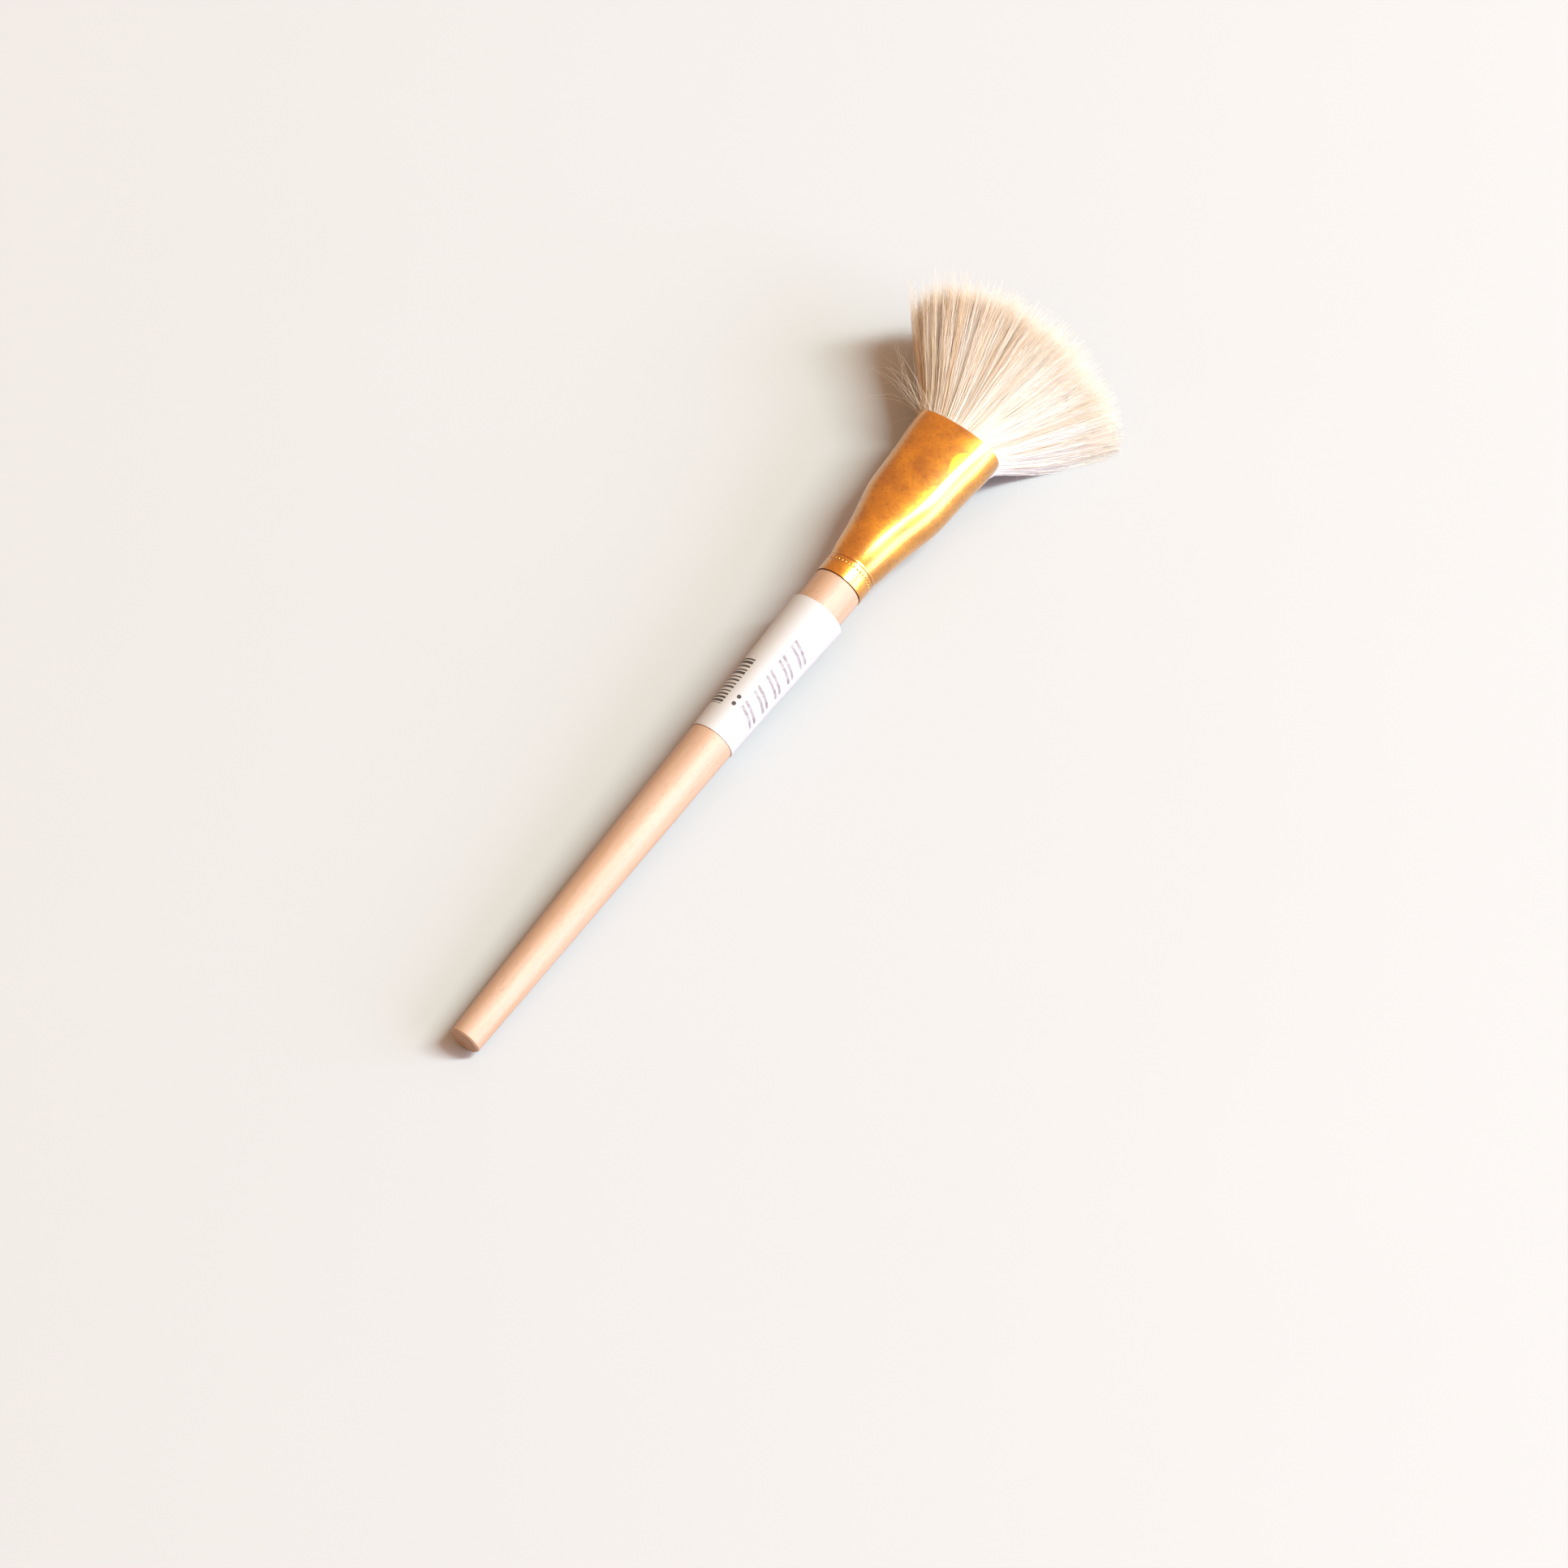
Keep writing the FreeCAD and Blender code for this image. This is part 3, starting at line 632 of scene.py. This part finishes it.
def hair_material():
    """White goat hair: pale, slightly varied from hair to hair, and lit through by the light."""
    hair = Nodes("goat_hair", roughness=0.38, specular=0.45)
    shade = hair.add("ShaderNodeAttribute", attribute_name="shade").outputs["Fac"]
    share = hair.add("ShaderNodeAttribute", attribute_name="share").outputs["Fac"]
    straw = (0.90, 0.73, 0.51)
    cream = (0.993, 0.981, 0.960)
    root = (0.99, 0.972, 0.948)
    shaded_tip = (0.84, 0.72, 0.57)
    # Straw to cream carries each hair's own tone and the painted side shade and light set in
    # grow_hairs.
    base = hair.mix(shade, straw, cream)
    base = hair.mix(hair.remap(share, 0.1, 0.6, 0.25, 0.0), base, root)
    # Painted shade: the tips are darkened, most on the darker hairs, so the thin, fully lit tips
    # look no brighter than the rest of the fan.
    tip_shade_share = hair.math("MULTIPLY", hair.remap(share, 0.8, 1.0),
                          hair.remap(shade, 0.0, 1.0, 0.9, 0.5))
    base = hair.mix(tip_shade_share, base, shaded_tip)
    hair.feed(hair.shader.inputs["Base Color"], base)
    glow = hair.add("ShaderNodeBsdfTranslucent")
    hair.feed(glow.inputs["Color"], base)
    blend = hair.add("ShaderNodeMixShader")
    hair.feed(blend.inputs[0], LIT_THROUGH)
    hair.feed(blend.inputs[1], hair.shader.outputs[0])
    hair.feed(blend.inputs[2], glow.outputs[0])
    hair.feed(hair.tree.nodes["Material Output"].inputs["Surface"], blend.outputs[0])
    return hair.material


def add_hair_piece(name, paths, shade, root_radius, material):
    """Turn hair paths into one piece of the tuft, kept just clear of the surface below."""
    taper = np.linspace(1.0, TIP_THINNING, HAIR_POINTS) * root_radius
    world_paths = to_world(paths)
    world_paths[..., 2] = np.maximum(world_paths[..., 2], FLOOR_CLEARANCE)
    radii = np.tile(taper, (len(paths), 1))
    piece = bpy.data.objects.new(name, tube_mesh(name, world_paths, radii, shade))
    bpy.context.scene.collection.objects.link(piece)
    piece.data.materials.append(material)
    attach(piece, "root")
    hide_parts("hair_tuft")


goat_hair = hair_material()
hair_paths, hair_shades = grow_hairs()
# The hairs are dealt out in layers by the height of their tips, because the exporter thins out
# any mesh of more than 200,000 triangles.
lowest_first = np.argsort(hair_paths[:, -1, 2])
for layer, members in enumerate(np.array_split(lowest_first, LAYER_COUNT), 1):
    add_hair_piece(f"hair_layer_{layer}", hair_paths[members], hair_shades[members],
                   HAIR_RADIUS, goat_hair)
add_hair_piece("stray_hairs", *grow_strays(STRAY_COUNT), STRAY_RADIUS, goat_hair)

# ---------------------------------------------------------------------------
# Floor, light and camera
# ---------------------------------------------------------------------------

FLOOR_SIZE = 6.0
ROOM_DIM_SIDE = -0.6  # dimmest where the cosine to the brightest direction is this or less
VIEW_END = 10.0


def add_floor():
    """A pale, slightly mottled table under the brush."""
    bpy.ops.mesh.primitive_plane_add(size=FLOOR_SIZE, location=(0, 0, 0))
    floor = bpy.context.object
    floor.name = "floor"
    surface = Nodes("pale_table", roughness=0.55, specular=0.2)
    mottle = surface.noise(surface.position(), 9.0)
    darker = (0.342, 0.345, 0.347)
    lighter = (0.350, 0.353, 0.355)
    surface.feed(surface.shader.inputs["Base Color"], surface.mix(mottle, darker, lighter))
    floor.data.materials.append(surface.material)


def direction(azimuth, elevation):
    """Unit vector; azimuth counts from the brush's tip end (+Y) towards its +X side."""
    turn, rise = math.radians(azimuth), math.radians(elevation)
    return Vector((math.sin(turn) * math.cos(rise), math.cos(turn) * math.cos(rise),
                   math.sin(rise)))


def add_soft_light(name, towards, distance, size, power, tint):
    """A rectangle of light that faces the brush from one direction; power is in watts."""
    data = bpy.data.lights.new(name, "AREA")
    data.shape = "RECTANGLE"
    data.size, data.size_y = size
    data.energy = power
    data.color = tint
    light = bpy.data.objects.new(name, data)
    light.location = towards * distance
    light.rotation_euler = towards.to_track_quat("Z", "Y").to_euler()
    bpy.context.scene.collection.objects.link(light)


def add_room(brightest, dim, bright, tint):
    """Warm light from all round that grows from dim to bright towards one direction."""
    world = bpy.data.worlds.new("room")
    world.use_nodes = True
    tree = world.node_tree
    place = tree.nodes.new("ShaderNodeTexCoord")
    facing = tree.nodes.new("ShaderNodeVectorMath")
    facing.operation = "DOT_PRODUCT"
    facing.inputs[1].default_value = brightest.normalized()
    tree.links.new(place.outputs["Generated"], facing.inputs[0])
    strength = tree.nodes.new("ShaderNodeMapRange")
    strength.inputs["From Min"].default_value = ROOM_DIM_SIDE
    strength.inputs["To Min"].default_value = dim
    strength.inputs["To Max"].default_value = bright
    tree.links.new(facing.outputs["Value"], strength.inputs["Value"])
    background = tree.nodes["Background"]
    background.inputs["Color"].default_value = (*tint, 1.0)
    tree.links.new(strength.outputs["Result"], background.inputs["Strength"])
    bpy.context.scene.world = world


def add_camera(azimuth, elevation, distance, target, lens):
    """A camera that looks at target; azimuth 0 looks along +Y and turns anticlockwise."""
    turn, rise = math.radians(azimuth), math.radians(elevation)
    back = Vector((math.sin(turn) * math.cos(rise), -math.cos(turn) * math.cos(rise),
                   math.sin(rise)))
    data = bpy.data.cameras.new("camera")
    data.lens = lens
    data.clip_end = VIEW_END
    camera = bpy.data.objects.new("camera", data)
    camera.location = Vector(target) + back * distance
    camera.rotation_euler = back.to_track_quat("Z", "Y").to_euler()
    bpy.context.scene.collection.objects.link(camera)
    bpy.context.scene.camera = camera


add_floor()
add_soft_light("window", direction(48, 50), distance=5.0, size=(0.65, 2.8), power=518.0,
               tint=(0.84, 1.0, 1.0))
add_soft_light("window_glow", direction(68, 20), distance=5.2, size=(4.6, 2.2), power=440.0,
               tint=(0.66, 0.70, 1.0))
add_room(brightest=Vector((0.50, 0.20, 0.85)), dim=0.66, bright=1.22, tint=(1.0, 0.61, 0.38))
add_camera(azimuth=36.03, elevation=60.09, distance=1.370, target=(0.0171, -0.0185, 0.0),
           lens=139.7)
bpy.context.scene.view_settings.view_transform = "Standard"
